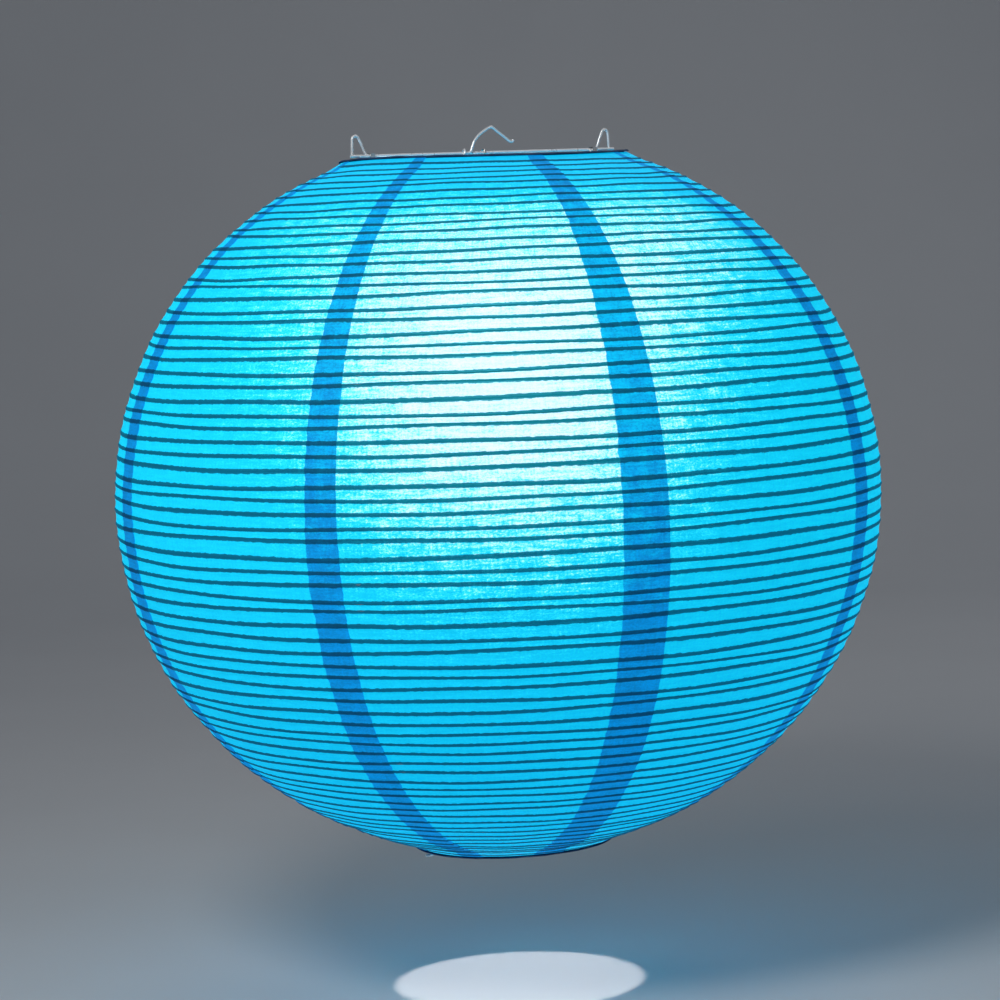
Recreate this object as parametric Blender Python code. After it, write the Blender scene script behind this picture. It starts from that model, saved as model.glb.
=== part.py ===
"""A round paper lantern, 610 mm across, hanging from the hook of its wire expander.

Eight paper gores are glued over one spiral wire between a top and a bottom ring. A wire
expander holds the rings apart: two arms cross the top opening and make the hook and two
ears, and two legs reach down to the bottom ring. A battery light hangs inside.

Metres, +Z up, the front is -Y. The origin is the hang point, under the top of the hook.
"""

import math

import bmesh
import bpy
from mathutils import Matrix, Vector

MM = 0.001
GAP = 0.3  # clearance between neighbouring pieces; this and all sizes below are in mm

# the paper body: a spheroid cut off by the two rings
BODY_RADIUS = 305.0
BODY_HALF_HEIGHT = 289.0
BODY_CENTRE_Z = -289.0
TOP_RING_RADIUS = 113.0
TOP_SINK = 4.0  # how far the paper round the top ring sinks below the spheroid
TOP_SINK_END = math.radians(50.0)  # from the pole
BOTTOM_RING_RADIUS = 78.0
RING_WIRE = 1.2
RING_SEGMENTS = 32
PAPER_OVER_RING = 0.7  # clearance between a ring and the paper that passes over it
HEM = 0.4
HEM_REACH = 1.6

# the eight gores
GORES = 8
FIRST_SEAM = math.radians(-69.9 - 90.0)  # from +X; the front of the lantern is -Y
PAPER = 0.5
FACETS_PER_TURN = 16
ROWS = 14
SEAM_WIDTHS = (30.0, 26.0, 36.0, 28.0, 31.0, 36.0, 27.0, 34.0)  # double paper, at the widest height

# the spiral wire that makes the ribs
RIB_TURNS = 70
RIB_WIRE = 0.7
RIB_SIDES = 3
RIB_ENDS = 7.0  # from each ring to the nearest end of the spiral, along the paper

# the expander: its plane stands 30 degrees round from +X
EXPANDER_TURN = math.radians(30.0)
WIRE = 1.1
WIRE_SIDES = 6
HOOK_S = 8.0  # the hook stands this far to the right of the lantern's axis
PIN_S, PIN_Z = 69.5, -46.0
EYE = 2 * WIRE + GAP
LEG_S = PIN_S + EYE
LEG_EYE_SWEEP = math.radians(250.0)
ARM_EYE_S = -16.5
ARM_EYE_TURNS, ARM_EYE_LENGTH = 0.92, 3.6
THROAT_S = 98.0
JAW_BEND = 1.6
FERRULE_S = 101.5
FERRULE_HALF_LENGTH = 1.9
FERRULE_WALL = 0.5

# the battery light
BAR_HOOK_WIRE = 0.9
LIGHT_TOP_Z = -74.0
HOUSING_RADIUS = 21.0
HOUSING_BOTTOM_Z = -144.0
HOUSING_FLOOR = 2.0
HOUSING_RIM = 6.0  # how far the rim round the globe's neck hangs below the floor
WALL = 1.6
COVER_HEIGHT = 12.0
COVER_CROWN = 2.6
CELL_RADIUS, CELL_LENGTH = 7.2, 50.5
CELL_CIRCLE = 8.8
GLOBE_RADIUS = 30.0
GLOBE_CENTRE_Z = -180.0
GLOBE_NECK = 19.0
GLOBE_WALL = 1.2
SWITCH_Z = -110.0
SWITCH_TRAVEL = 4.0
SCREW_PLACES = ((12.1, 7.0), (-12.1, 7.0))
CELLS = 3
SCREW_RADIUS = 1.2
SPRING_WIRE = 0.4
SPRING_SIDES = 4
SPRING_TURNS, SPRING_RADII = 3.5, (5.0, 2.8)
ROUND = 24  # sides of the light's large turned pieces
SMALL_ROUND = 12

U = Vector((math.cos(EXPANDER_TURN), math.sin(EXPANDER_TURN), 0))
V = Vector((-math.sin(EXPANDER_TURN), math.cos(EXPANDER_TURN), 0))
AXIS = -HOOK_S * U  # the lantern's own vertical axis, in mm from the hang point


# ---------------------------------------------------------------- scene and materials


def clear_scene():
    for obj in list(bpy.data.objects):
        bpy.data.objects.remove(obj, do_unlink=True)


def material(name, colour, roughness, metallic=0.0):
    found = bpy.data.materials.new(name)
    found.use_nodes = True
    shader = found.node_tree.nodes["Principled BSDF"]
    shader.inputs["Base Color"].default_value = (*colour, 1)
    shader.inputs["Roughness"].default_value = roughness
    shader.inputs["Metallic"].default_value = metallic
    return found


def add_object(name, mesh, finish, origin=Vector((0, 0, 0))):
    """Adds a mesh whose points are in mm in the part's frame, with its origin moved to a given point."""
    mesh.transform(Matrix.Scale(MM, 4) @ Matrix.Translation(-Vector(origin)))
    mesh.shade_smooth()
    mesh.set_sharp_from_angle(angle=math.radians(35))
    mesh.materials.append(finish)
    obj = bpy.data.objects.new(name, mesh)
    obj.location = Vector(origin) * MM
    bpy.context.scene.collection.objects.link(obj)
    return obj


def mesh_of(points, faces):
    """A mesh with its faces turned outwards."""
    mesh = bpy.data.meshes.new("mesh")
    mesh.from_pydata([tuple(p) for p in points], [], faces)
    work = bmesh.new()
    work.from_mesh(mesh)
    bmesh.ops.recalc_face_normals(work, faces=work.faces)
    work.to_mesh(mesh)
    work.free()
    return mesh


# ---------------------------------------------------------------- ways to make a shape


def in_plane(s, z, t=0.0):
    """A point of the expander's plane: s along it from the lantern's axis, t out of it to the back."""
    return AXIS + s * U + t * V + Vector((0, 0, z))


def arc(centre, radius, start, end, steps):
    """Points (s, z) of an arc in a plane, with angles in degrees."""
    angles = [math.radians(start + (end - start) * k / steps) for k in range(steps + 1)]
    return [(centre[0] + radius * math.cos(a), centre[1] + radius * math.sin(a)) for a in angles]


def swept(route, radius, sides=WIRE_SIDES, closed=False):
    """A wire of round section along a route of points."""
    route = [Vector(p) for p in route]
    count = len(route)
    points, side = [], None
    for k, here in enumerate(route):
        if closed:
            before, after = route[k - 1], route[(k + 1) % count]
        else:
            before, after = route[max(k - 1, 0)], route[min(k + 1, count - 1)]
        along = (after - here).normalized() + (here - before).normalized()
        along.normalize()
        if side is None:
            side = along.orthogonal() if abs(along.z) > 0.9 else along.cross(Vector((0, 0, 1)))
        side = (side - side.dot(along) * along).normalized()
        up = along.cross(side)
        for n in range(sides):
            a = 2 * math.pi * n / sides
            points.append(here + radius * (math.cos(a) * side + math.sin(a) * up))
    faces = []
    for k in range(count if closed else count - 1):
        for n in range(sides):
            m, first, last = (n + 1) % sides, k * sides, (k + 1) % count * sides
            faces.append((first + n, first + m, last + m, last + n))
    if not closed:
        faces.append(tuple(range(sides - 1, -1, -1)))
        faces.append(tuple(range((count - 1) * sides, count * sides)))
    return mesh_of(points, faces)


def turned(profile, segments=ROUND, centre=AXIS, phase=0.0):
    """A closed outline of (radius, z), or one that starts and ends on the axis, turned round a vertical axis."""
    points, rings = [], []
    for radius, z in profile:
        if radius == 0:
            rings.append([len(points)] * segments)
            points.append(centre + Vector((0, 0, z)))
            continue
        rings.append(list(range(len(points), len(points) + segments)))
        for n in range(segments):
            a = phase + 2 * math.pi * n / segments
            points.append(centre + Vector((radius * math.cos(a), radius * math.sin(a), z)))
    pairs = list(zip(rings, rings[1:]))
    if profile[0][0] > 0:
        pairs.append((rings[-1], rings[0]))
    faces = []
    for upper, lower in pairs:
        for n in range(segments):
            corners = (upper[n], upper[n - 1], lower[n - 1], lower[n])
            face = tuple(dict.fromkeys(corners))
            if len(face) > 2:
                faces.append(face)
    return mesh_of(points, faces)


def block(low, high):
    """A box between two corners (s, t, z) of the expander's plane."""
    corners = [(s, t, z) for s in (low[0], high[0]) for t in (low[1], high[1]) for z in (low[2], high[2])]
    faces = [(0, 1, 3, 2), (4, 6, 7, 5), (0, 4, 5, 1), (2, 3, 7, 6), (0, 2, 6, 4), (1, 5, 7, 3)]
    return mesh_of([in_plane(s, z, t) for s, t, z in corners], faces)


def cutter(name, mesh):
    mesh.transform(Matrix.Scale(MM, 4))
    obj = bpy.data.objects.new(name, mesh)
    obj.hide_render = True
    obj.display_type = "WIRE"
    bpy.context.scene.collection.objects.link(obj)
    return obj


def cut(obj, tool):
    modifier = obj.modifiers.new(tool.name, "BOOLEAN")
    modifier.operation = "DIFFERENCE"
    modifier.object = tool


# ---------------------------------------------------------------- the paper body


TOP_ANGLE = math.asin(TOP_RING_RADIUS / BODY_RADIUS)  # the rings' angles from the top pole
BOTTOM_ANGLE = math.pi - math.asin(BOTTOM_RING_RADIUS / BODY_RADIUS)


def body_height(angle):
    """The paper's height at an angle from the top pole of the spheroid."""
    share = max(0.0, (TOP_SINK_END - angle) / (TOP_SINK_END - TOP_ANGLE))
    return BODY_CENTRE_Z + BODY_HALF_HEIGHT * math.cos(angle) - TOP_SINK * share**2


TOP_RING_Z = body_height(TOP_ANGLE)
BOTTOM_RING_Z = body_height(BOTTOM_ANGLE)
OVER_RING = RING_WIRE + PAPER_OVER_RING


HEM_OVER = OVER_RING + 2 * PAPER + 3 * GAP  # from a ring's middle, past two layers of paper
HEM_UNDER = RING_WIRE + GAP + HEM
HEM_TOP = TOP_RING_Z + HEM_OVER + HEM
BAR_Z = HEM_TOP + GAP + WIRE


def profile_rows():
    """(radius, z, outward normal) down the body, on the paper's inner face, from ring to ring."""
    rows = []
    for k in range(ROWS + 1):
        a = TOP_ANGLE + (BOTTOM_ANGLE - TOP_ANGLE) * k / ROWS
        normal = Vector((math.sin(a) / BODY_RADIUS, math.cos(a) / BODY_HALF_HEIGHT)).normalized()
        place = Vector((BODY_RADIUS * math.sin(a), body_height(a)))
        # at the rings the paper passes over the ring's wire
        lift = OVER_RING * max(0.0, 1 - min(k, ROWS - k) / 2)
        rows.append((*(place + lift * normal), normal))
    return rows


def facet_share(azimuth):
    """How near a flat facet lies to the axis at an azimuth, against its corners."""
    step = 2 * math.pi / FACETS_PER_TURN
    inside = (azimuth - FIRST_SEAM) % step - step / 2
    return math.cos(step / 2) / math.cos(inside)


def gore(number):
    """One strip of paper, from its own seam to past the next one, where it lies over its neighbour."""
    seam = FIRST_SEAM + number * 2 * math.pi / GORES
    turn = 2 * math.pi / GORES
    widths = SEAM_WIDTHS[number], SEAM_WIDTHS[(number + 1) % GORES]
    lift = PAPER + GAP
    points, columns = [], 5
    for layer in (0.0, PAPER):
        for radius, z, normal in profile_rows():
            own, following = (w / 2 / BODY_RADIUS for w in widths)
            places = (-own, 0.0, turn / 2, turn, turn + following)
            for place in places:
                rise = lift * (place + own) / turn
                out, up = normal * (rise + layer)
                azimuth = seam + place
                r = (radius + out) * facet_share(azimuth)
                points.append(AXIS + Vector((r * math.cos(azimuth), r * math.sin(azimuth), z + up)))
    size = columns * (ROWS + 1)
    faces = []
    for row in range(ROWS):
        for column in range(columns - 1):
            a = row * columns + column
            quad = (a, a + 1, a + columns + 1, a + columns)
            faces.append(quad)
            faces.append(tuple(size + n for n in reversed(quad)))
        for edge in (0, columns - 1):
            a = row * columns + edge
            faces.append((a, a + columns, size + a + columns, size + a))
    for row in (0, ROWS):
        for column in range(columns - 1):
            a = row * columns + column
            faces.append((a, a + 1, size + a + 1, size + a))
    return mesh_of(points, faces)


def spiral_rib():
    """One continuous wire wound inside the paper, at an even spacing along it."""
    rows = profile_rows()
    lengths = [0.0]
    for (r0, z0, _), (r1, z1, _) in zip(rows, rows[1:]):
        lengths.append(lengths[-1] + math.hypot(r1 - r0, z1 - z0))
    wound = lengths[-1] - 2 * RIB_ENDS
    steps = RIB_TURNS * FACETS_PER_TURN
    inset = GAP + RIB_WIRE
    points = []
    for k in range(steps + 1):
        along = RIB_ENDS + wound * k / steps
        row = max(n for n in range(ROWS) if lengths[n] <= along)
        share = (along - lengths[row]) / (lengths[row + 1] - lengths[row])
        (r0, z0, _), (r1, z1, _) = rows[row], rows[row + 1]
        normal = Vector((z0 - z1, r1 - r0)).normalized()
        middle = Vector((r0 + share * (r1 - r0), z0 + share * (z1 - z0))) - inset * normal
        azimuth = FIRST_SEAM + 2 * math.pi * k / FACETS_PER_TURN
        down = Vector((-normal.y, normal.x))
        for n in range(RIB_SIDES):
            a = math.pi + 2 * math.pi * n / RIB_SIDES
            r, z = middle + RIB_WIRE * (math.cos(a) * normal + math.sin(a) * down)
            points.append(AXIS + Vector((r * math.cos(azimuth), r * math.sin(azimuth), z)))
    faces = []
    for k in range(steps):
        for n in range(RIB_SIDES):
            m = (n + 1) % RIB_SIDES
            a, c = k * RIB_SIDES, (k + 1) * RIB_SIDES
            faces.append((a + n, a + m, c + m, c + n))
    faces.append(tuple(range(RIB_SIDES)))
    faces.append(tuple(steps * RIB_SIDES + n for n in reversed(range(RIB_SIDES))))
    return mesh_of(points, faces)


def ring(radius, z):
    route = [
        AXIS + Vector((radius * math.cos(a), radius * math.sin(a), z))
        for a in (FIRST_SEAM + 2 * math.pi * n / RING_SEGMENTS for n in range(RING_SEGMENTS))
    ]
    return swept(route, RING_WIRE, closed=True)


def hem(radius, z, outside):
    """A strip folded round a ring and over the ends of the gores; outside is +1 above the top ring."""
    near = RING_WIRE + GAP
    inner = radius - near
    outline = [
        (radius + HEM_REACH, z + outside * HEM_OVER),
        (inner, z + outside * HEM_OVER),
        (inner, z - outside * near),
        (radius, z - outside * near),
        (radius, z - outside * (near + HEM)),
        (inner - HEM, z - outside * (near + HEM)),
        (inner - HEM, z + outside * (HEM_OVER + HEM)),
        (radius + HEM_REACH, z + outside * (HEM_OVER + HEM)),
    ]
    return turned(outline, RING_SEGMENTS, phase=FIRST_SEAM)


# ---------------------------------------------------------------- the wire expander


def ear(side):
    """(s, z) of the ear that stands over the ring, from its outer end to the crossbar."""
    return [
        (side * s, z)
        for s, z in [(117.8, -18.6), (117.3, -9.0), *arc((114.2, -6.2), 3.0, 10, 170, 5)]
        + [(108.6, -11.0), (106.8, -16.4), (104.0, BAR_Z)]
    ]


def hook():
    """(s, z) of the open hook, from its foot on the crossbar over the top to its upturned tip."""
    return [
        (HOOK_S + s, z)
        for s, z in [(-21.5, BAR_Z), (-19.6, -18.0), (-18.2, -14.6), (-16.6, -10.6), (-13.6, -6.6)]
        + [(-9.8, -3.6), (-5.0, -0.7), (-1.4, WIRE), (1.2, WIRE), (6.9, -3.4), (12.7, -7.4)]
        + [(16.7, -10.6), (19.0, -10.9), (19.9, -9.6)]
    ]


def left_arm():
    return [in_plane(s, z) for s, z in ear(-1) + hook()]


def right_arm():
    """The right ear and crossbar, with an eye closed round the left arm beside the hook's foot."""
    route = [in_plane(s, z) for s, z in ear(1)] + [in_plane(s, BAR_Z) for s in (60.0, 20.0, -5.0)]
    route.append(in_plane(ARM_EYE_S + 6.5, BAR_Z, EYE + GAP))
    steps = 9
    for k in range(steps + 1):
        a = 2 * math.pi * ARM_EYE_TURNS * k / steps
        s = ARM_EYE_S - ARM_EYE_LENGTH * k / steps
        route.append(in_plane(s, BAR_Z + EYE * math.sin(a), EYE * math.cos(a)))
    return route


CLIP_T = -EYE
JAW_LOW_Z = TOP_RING_Z - HEM_UNDER - GAP - WIRE


def clip(side):
    """The notch that grips the top ring, beside the arm, and the pin that the leg hangs on."""
    throat, bend = THROAT_S, JAW_BEND
    flat = [(120.5, BAR_Z), (throat + bend, BAR_Z)]
    flat += [(throat, BAR_Z - bend), (throat, JAW_LOW_Z + bend), (throat + bend, JAW_LOW_Z)]
    flat += [(TOP_RING_RADIUS - 2.0, JAW_LOW_Z), (TOP_RING_RADIUS + 0.5, JAW_LOW_Z - 1.6)]
    flat += [(TOP_RING_RADIUS - 1.5, JAW_LOW_Z - 3.8), (PIN_S + 5, PIN_Z + 4.0), (PIN_S + 1.0, PIN_Z + 0.6)]
    route = [in_plane(side * s, z, CLIP_T) for s, z in flat]
    route.append(in_plane(side * PIN_S, PIN_Z, CLIP_T + 1.2))
    route.append(in_plane(side * PIN_S, PIN_Z, 4.0))
    return route


def leg(side):
    """A leg with its eye round the clip's pin, and its foot, a notch that grips the bottom ring."""
    eye = [
        (PIN_S + EYE * math.cos(a), PIN_Z + EYE * math.sin(a))
        for a in (LEG_EYE_SWEEP * (1 - k / 8) for k in range(9))
    ]
    top, low = BOTTOM_RING_Z + HEM_UNDER + GAP + WIRE, BOTTOM_RING_Z - (HEM_TOP - TOP_RING_Z) - GAP - WIRE
    out = BOTTOM_RING_RADIUS + 3.5
    foot = [(LEG_S, top + 8.0), (LEG_S + 1.5, top + 6.2), (out - 2.0, top + 3.8), (out, top + 2.2)]
    foot += [(out - 1.6, top), (LEG_S + 1.6, top), (LEG_S, top - 1.6), (LEG_S, low + 1.8)]
    foot += [(LEG_S + 1.8, low), (out, low)]
    return [in_plane(side * s, z) for s, z in eye + foot]


def ferrule(side):
    """A crimped sleeve that holds the arm and the clip's upper jaw together, just inside the ring."""
    round_wire = WIRE + GAP + FERRULE_WALL
    middle = (FERRULE_S * side, CLIP_T / 2, BAR_Z)
    reach = (FERRULE_HALF_LENGTH, round_wire - CLIP_T / 2, round_wire)
    low, high = ([m + way * r for m, r in zip(middle, reach)] for way in (-1, 1))
    return block(low, high)


def ferrule_bore(side):
    """The slot through a ferrule, as a flat oval round both wires."""
    rim = []
    for t, start in ((CLIP_T, 90), (0.0, -90)):
        centre = (t, BAR_Z)
        rim += arc(centre, WIRE + GAP, start, start + 180, 4)
    past = 2 * FERRULE_HALF_LENGTH
    ends = [(FERRULE_S - past) * side, (FERRULE_S + past) * side]
    points = [in_plane(s, z, t) for s in ends for t, z in rim]
    count = len(rim)
    faces = [tuple(range(count)), tuple(range(count, 2 * count))]
    faces += [(n, (n + 1) % count, count + (n + 1) % count, count + n) for n in range(count)]
    return mesh_of(points, faces)


# ---------------------------------------------------------------- the battery light


def light_hook():
    """A wire hook over the crossbar, down to the battery cover."""
    reach = WIRE + GAP + BAR_HOOK_WIRE
    over = [(t, BAR_Z + z) for t, z in arc((0, 0), reach, 215, 0, 8)]
    down = [(reach, BAR_Z - 4.0), (reach * 0.7, BAR_Z - 7.0), (0.4, BAR_Z - 10.5), (0.0, BAR_Z - 14.0)]
    foot = [(0.0, LIGHT_TOP_Z - 6.8), (0.6, LIGHT_TOP_Z - 7.5), (3.2, LIGHT_TOP_Z - 7.5)]
    return [in_plane(0, z, t) for t, z in over + down + foot]


def battery_cover():
    """A cap with a hole for the hook's wire and a skirt outside the housing."""
    outer = HOUSING_RADIUS + GAP + WALL
    inner, top = HOUSING_RADIUS + GAP, LIGHT_TOP_Z
    hole = BAR_HOOK_WIRE + GAP
    return [
        (hole, top),
        (6.0, top),
        (9.0, top - 1.5),
        (outer - 4.0, top - COVER_CROWN),
        (outer, top - 6.0),
        (outer, top - COVER_HEIGHT),
        (inner, top - COVER_HEIGHT),
        (inner, top - COVER_CROWN - 2 * WALL),
        (hole, top - COVER_CROWN - 2 * WALL),
    ]


HOUSING_TOP_Z = LIGHT_TOP_Z - COVER_CROWN - 2 * WALL - GAP
CELL_TOP_Z = HOUSING_TOP_Z - 4.0
CELL_BOTTOM_Z = CELL_TOP_Z - CELL_LENGTH
FLOOR_Z = HOUSING_BOTTOM_Z + HOUSING_FLOOR


def light_housing():
    """A cup for the cells, with a floor over the LED board and a socket rim for the globe."""
    r = HOUSING_RADIUS
    return [
        (0, FLOOR_Z),
        (r - WALL, FLOOR_Z),
        (r - WALL, HOUSING_TOP_Z),
        (r, HOUSING_TOP_Z),
        (r, HOUSING_BOTTOM_Z - HOUSING_RIM),
        (r - WALL, HOUSING_BOTTOM_Z - HOUSING_RIM),
        (r - WALL, HOUSING_BOTTOM_Z),
        (0, HOUSING_BOTTOM_Z),
    ]


def cell():
    r, top, low = CELL_RADIUS, CELL_TOP_Z, CELL_BOTTOM_Z
    return [(0, top), (2.6, top), (2.6, top - 1.4), (r - 0.6, top - 1.4), (r, top - 2.0), (r, low), (0, low)]


def cell_spring():
    """The conical spring under a cell."""
    steps = 8
    low, high = FLOOR_Z + GAP + SPRING_WIRE, CELL_BOTTOM_Z - GAP - SPRING_WIRE
    count = round(SPRING_TURNS * steps)
    route = []
    for k in range(count + 1):
        share, a = k / count, 2 * math.pi * k / steps
        radius = SPRING_RADII[0] + (SPRING_RADII[1] - SPRING_RADII[0]) * share
        route.append(Vector((radius * math.cos(a), radius * math.sin(a), low + (high - low) * share)))
    return route


def disc(radius, low, high):
    return [(0, high), (radius, high), (radius, low), (0, low)]


BOARD_TOP_Z = HOUSING_BOTTOM_Z - GAP
BOARD_LOW_Z = BOARD_TOP_Z - 1.6


def globe():
    """A hollow globe with its neck inside the housing's rim."""
    neck_top = HOUSING_BOTTOM_Z - 2.6

    def shell(radius, neck):
        start = math.degrees(math.asin(neck / radius))
        angles = [math.radians(start + (180 - start) * k / 9) for k in range(9)]
        return [(radius * math.sin(a), GLOBE_CENTRE_Z + radius * math.cos(a)) for a in angles]

    outer = shell(GLOBE_RADIUS, GLOBE_NECK)
    inner = shell(GLOBE_RADIUS - GLOBE_WALL, GLOBE_NECK - GLOBE_WALL)
    return (
        [(0, GLOBE_CENTRE_Z - GLOBE_RADIUS + GLOBE_WALL)]
        + inner[::-1]
        + [(GLOBE_NECK - GLOBE_WALL, neck_top), (GLOBE_NECK, neck_top)]
        + outer
        + [(0, GLOBE_CENTRE_Z - GLOBE_RADIUS)]
    )


def switch_slot():
    """The cutter for the slot that the switch slides in, on the light's front."""
    half_width, half_height = 2.0, 3.2
    low = SWITCH_Z - half_height - SWITCH_TRAVEL
    outside, inside = -HOUSING_RADIUS - 2, -HOUSING_RADIUS + 3
    return block((-half_width, outside, low), (half_width, inside, SWITCH_Z + half_height))


def switch_slider():
    """An H-shaped slider: a knob outside, a stem through the slot and a plate inside."""
    knob, face = -HOUSING_RADIUS - 2.1, -HOUSING_RADIUS - GAP
    inside = -HOUSING_RADIUS + WALL + 0.5
    half = [(3.2, knob), (3.2, face), (1.6, face), (1.6, inside), (3.0, inside), (3.0, inside + 0.8)]
    outline = half + [(-s, t) for s, t in reversed(half)]
    count = len(outline)
    points = [in_plane(s, SWITCH_Z + z, t) for z in (-2.7, 2.7) for s, t in outline]
    faces = [tuple(range(count)), tuple(range(count, 2 * count))]
    faces += [(n, (n + 1) % count, count + (n + 1) % count, count + n) for n in range(count)]
    return mesh_of(points, faces)


def screw():
    top = FLOOR_Z - 0.4
    low = BOARD_LOW_Z - GAP
    r = SCREW_RADIUS
    return [(0, top), (r, top), (r, low), (2 * r, low), (2 * r, low - 1.0), (r, low - 1.6), (0, low - 1.6)]


# ---------------------------------------------------------------- assembly


def build_paper_body(paper, hem_paper, ring_steel, rib_steel):
    for number in range(GORES):
        add_object(f"gore_{number + 1}", gore(number), paper)
    add_object("spiral_rib", spiral_rib(), rib_steel)
    low = AXIS + Vector((0, 0, BOTTOM_RING_Z))
    add_object("top_ring", ring(TOP_RING_RADIUS, TOP_RING_Z), ring_steel)
    add_object("top_hem", hem(TOP_RING_RADIUS, TOP_RING_Z, 1), hem_paper)
    add_object("bottom_ring", ring(BOTTOM_RING_RADIUS, BOTTOM_RING_Z), ring_steel, low)
    add_object("bottom_hem", hem(BOTTOM_RING_RADIUS, BOTTOM_RING_Z, -1), hem_paper, low)


def build_expander(steel, crimp):
    add_object("left_arm", swept(left_arm(), WIRE), steel)
    add_object("right_arm", swept(right_arm(), WIRE), steel)
    for name, side in (("left", -1), ("right", 1)):
        pin = in_plane(side * PIN_S, PIN_Z)
        add_object(f"{name}_clip", swept(clip(side), WIRE), steel)
        add_object(f"{name}_leg", swept(leg(side), WIRE), steel, pin)
        sleeve = add_object(f"{name}_ferrule", ferrule(side), crimp)
        cut(sleeve, cutter(f"{name}_ferrule_bore", ferrule_bore(side)))


def add_turned(name, outline, finish, place=(0.0, 0.0), segments=ROUND):
    """Adds a turned piece of the light, standing at (s, t) of the expander's plane."""
    centre = in_plane(place[0], 0, place[1])
    return add_object(name, turned(outline, segments, centre), finish, centre)


def build_light(finishes):
    shell, metal, wrap, board_green, switch_grey, chip_yellow, glow = finishes
    bar = in_plane(0, BAR_Z)
    add_object("light_hook", swept(light_hook(), BAR_HOOK_WIRE), metal, bar)
    add_turned("battery_cover", battery_cover(), shell)
    housing = add_turned("light_housing", light_housing(), shell)
    cut(housing, cutter("switch_slot", switch_slot()))
    board = add_turned("led_board", disc(HOUSING_RADIUS - WALL - 0.9, BOARD_LOW_Z, BOARD_TOP_Z), board_green)
    for number, (s, t) in enumerate(SCREW_PLACES, 1):
        centre = in_plane(s, 0, t)
        hole = turned(disc(SCREW_RADIUS + GAP, BOARD_LOW_Z - 1, FLOOR_Z + 1), SMALL_ROUND, centre)
        tool = cutter(f"screw_hole_{number}", hole)
        cut(housing, tool)
        cut(board, tool)
        add_turned(f"board_screw_{number}", screw(), metal, (s, t), SMALL_ROUND)
    for number in range(CELLS):
        a = math.pi / 2 + 2 * math.pi * number / CELLS
        place = CELL_CIRCLE * math.cos(a), CELL_CIRCLE * math.sin(a)
        add_turned(f"battery_cell_{number + 1}", cell(), wrap, place, SMALL_ROUND)
        centre = in_plane(place[0], 0, place[1])
        coil = swept([centre + p for p in cell_spring()], SPRING_WIRE, SPRING_SIDES)
        add_object(f"cell_spring_{number + 1}", coil, metal, centre)
    plate = disc(CELL_CIRCLE + CELL_RADIUS, CELL_TOP_Z + GAP, CELL_TOP_Z + GAP + 0.6)
    add_turned("contact_plate", plate, metal)
    chip = block((-4, -4, BOARD_LOW_Z - GAP - 0.9), (4, 4, BOARD_LOW_Z - GAP))
    add_object("led_chip", chip, chip_yellow, AXIS)
    add_turned("globe_diffuser", globe(), glow)
    knob = in_plane(0, SWITCH_Z, -HOUSING_RADIUS)
    add_object("switch_slider", switch_slider(), switch_grey, knob)


def main():
    clear_scene()
    paper = material("lantern_paper", (0.0, 0.52, 0.83), 0.7)
    hem_paper = material("hem_paper", (0.02, 0.08, 0.2), 0.7)
    ring_steel = material("ring_steel", (0.35, 0.35, 0.36), 0.45, 1.0)
    rib_steel = material("rib_steel", (0.3, 0.33, 0.35), 0.5, 1.0)
    steel = material("expander_steel", (0.7, 0.7, 0.7), 0.3, 1.0)
    crimp = material("crimp_steel", (0.6, 0.6, 0.6), 0.35, 1.0)
    build_paper_body(paper, hem_paper, ring_steel, rib_steel)
    build_expander(steel, crimp)
    light = (
        material("light_shell", (0.85, 0.85, 0.83), 0.4),
        material("light_metal", (0.75, 0.74, 0.7), 0.3, 1.0),
        material("cell_wrap", (0.08, 0.08, 0.09), 0.4),
        material("circuit_board", (0.05, 0.25, 0.1), 0.5),
        material("switch_plastic", (0.1, 0.1, 0.11), 0.5),
        material("led_phosphor", (0.9, 0.75, 0.2), 0.5),
        material("globe_plastic", (0.95, 0.95, 0.92), 0.3),
    )
    build_light(light)


main()
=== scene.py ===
"""The looks of the paper lantern: paper gores over a hand-wound rib, bright wire and a lit battery light.

Metres, in the frame of the CAD model: +Z up, the front is -Y, and the origin is the hang point.
"""

import math

import bmesh
import bpy
import numpy as np
from mathutils import Matrix, Vector


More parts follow.
